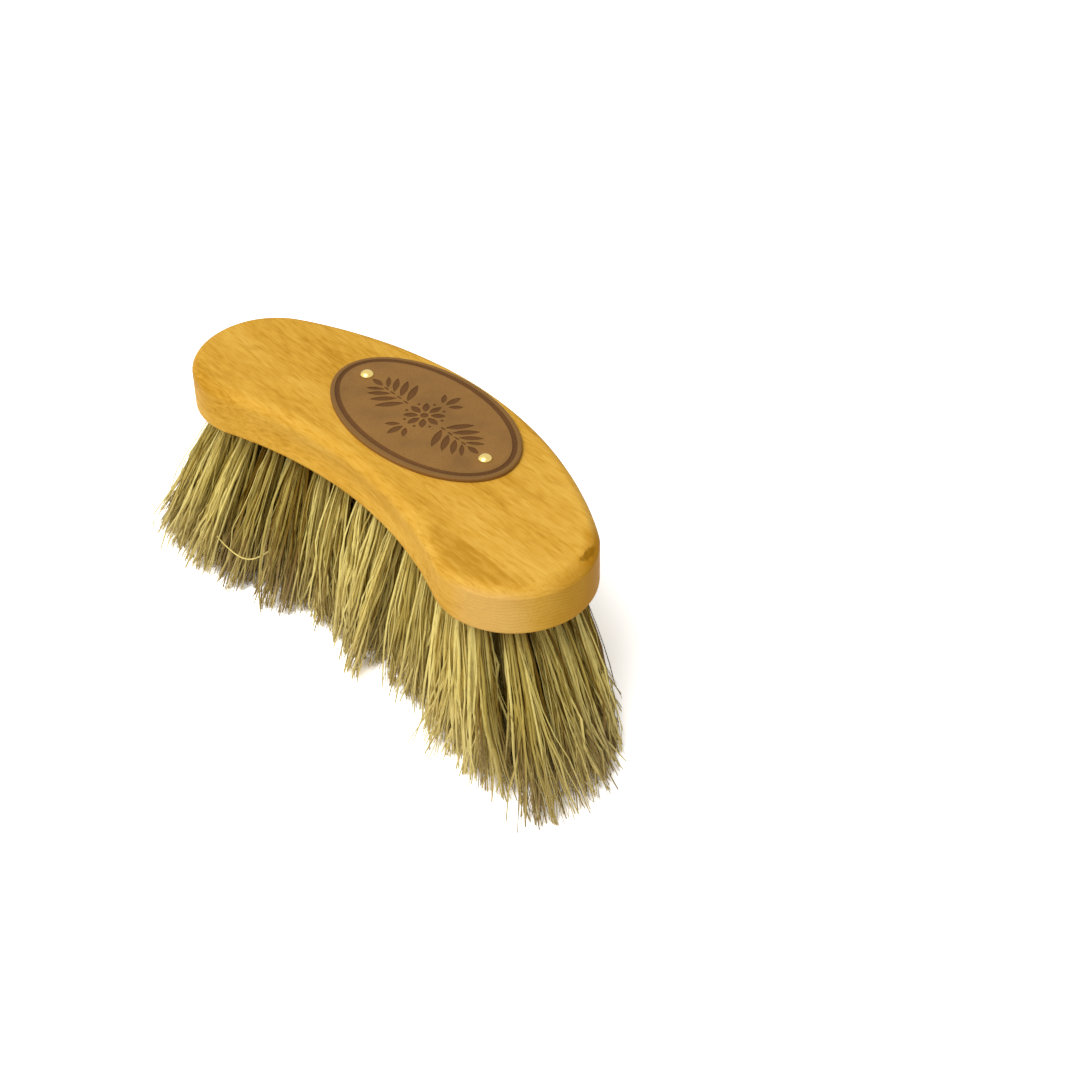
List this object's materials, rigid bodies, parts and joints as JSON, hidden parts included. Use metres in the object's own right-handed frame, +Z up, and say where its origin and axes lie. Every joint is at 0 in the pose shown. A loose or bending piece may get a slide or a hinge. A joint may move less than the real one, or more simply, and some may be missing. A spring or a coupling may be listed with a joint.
{
  "type": "horse grooming brush",
  "caption": "Bean-shaped beech grooming brush for horses, with an oval leather badge nailed on top and splayed tufts of stiff plant fibre.",
  "frame": {"origin": "centre of the footprint of the whole brush, on the plane of the bristle tips that it stands on", "axes": "+Z up, out of the wooden back; +X along the block; -Y towards the hollow waist side with the finger groove"},
  "size_m": [0.2402, 0.1056, 0.085],
  "materials": {
    "beech": "satin",
    "leather": "satin",
    "brass": "polished",
    "fibre": "matte"
  },
  "bodies": {
    "root": {"block": "beech", "badge": "leather", "nail_far": "brass", "nail_near": "brass", "tuft_row_01": "fibre", "tuft_row_02": "fibre", "tuft_row_03": "fibre", "tuft_row_04": "fibre", "tuft_row_05": "fibre", "tuft_row_06": "fibre", "tuft_row_07": "fibre", "tuft_row_08": "fibre", "tuft_row_09": "fibre", "tuft_row_10": "fibre", "tuft_row_11": "fibre", "tuft_row_12": "fibre", "tuft_row_13": "fibre", "tuft_row_14": "fibre", "tuft_row_15": "fibre", "tuft_row_16": "fibre", "tuft_row_17": "fibre", "tuft_row_18": "fibre", "tuft_row_19": "fibre", "tuft_row_20": "fibre", "tuft_row_21": "fibre", "tuft_row_22": "fibre", "tuft_row_23": "fibre", "tuft_row_24": "fibre", "tuft_row_25": "fibre", "tuft_row_26": "fibre", "tuft_row_27": "fibre", "tuft_row_28": "fibre", "tuft_row_29": "fibre", "tuft_row_30": "fibre", "tuft_row_31": "fibre"}
  },
  "joints": []
}
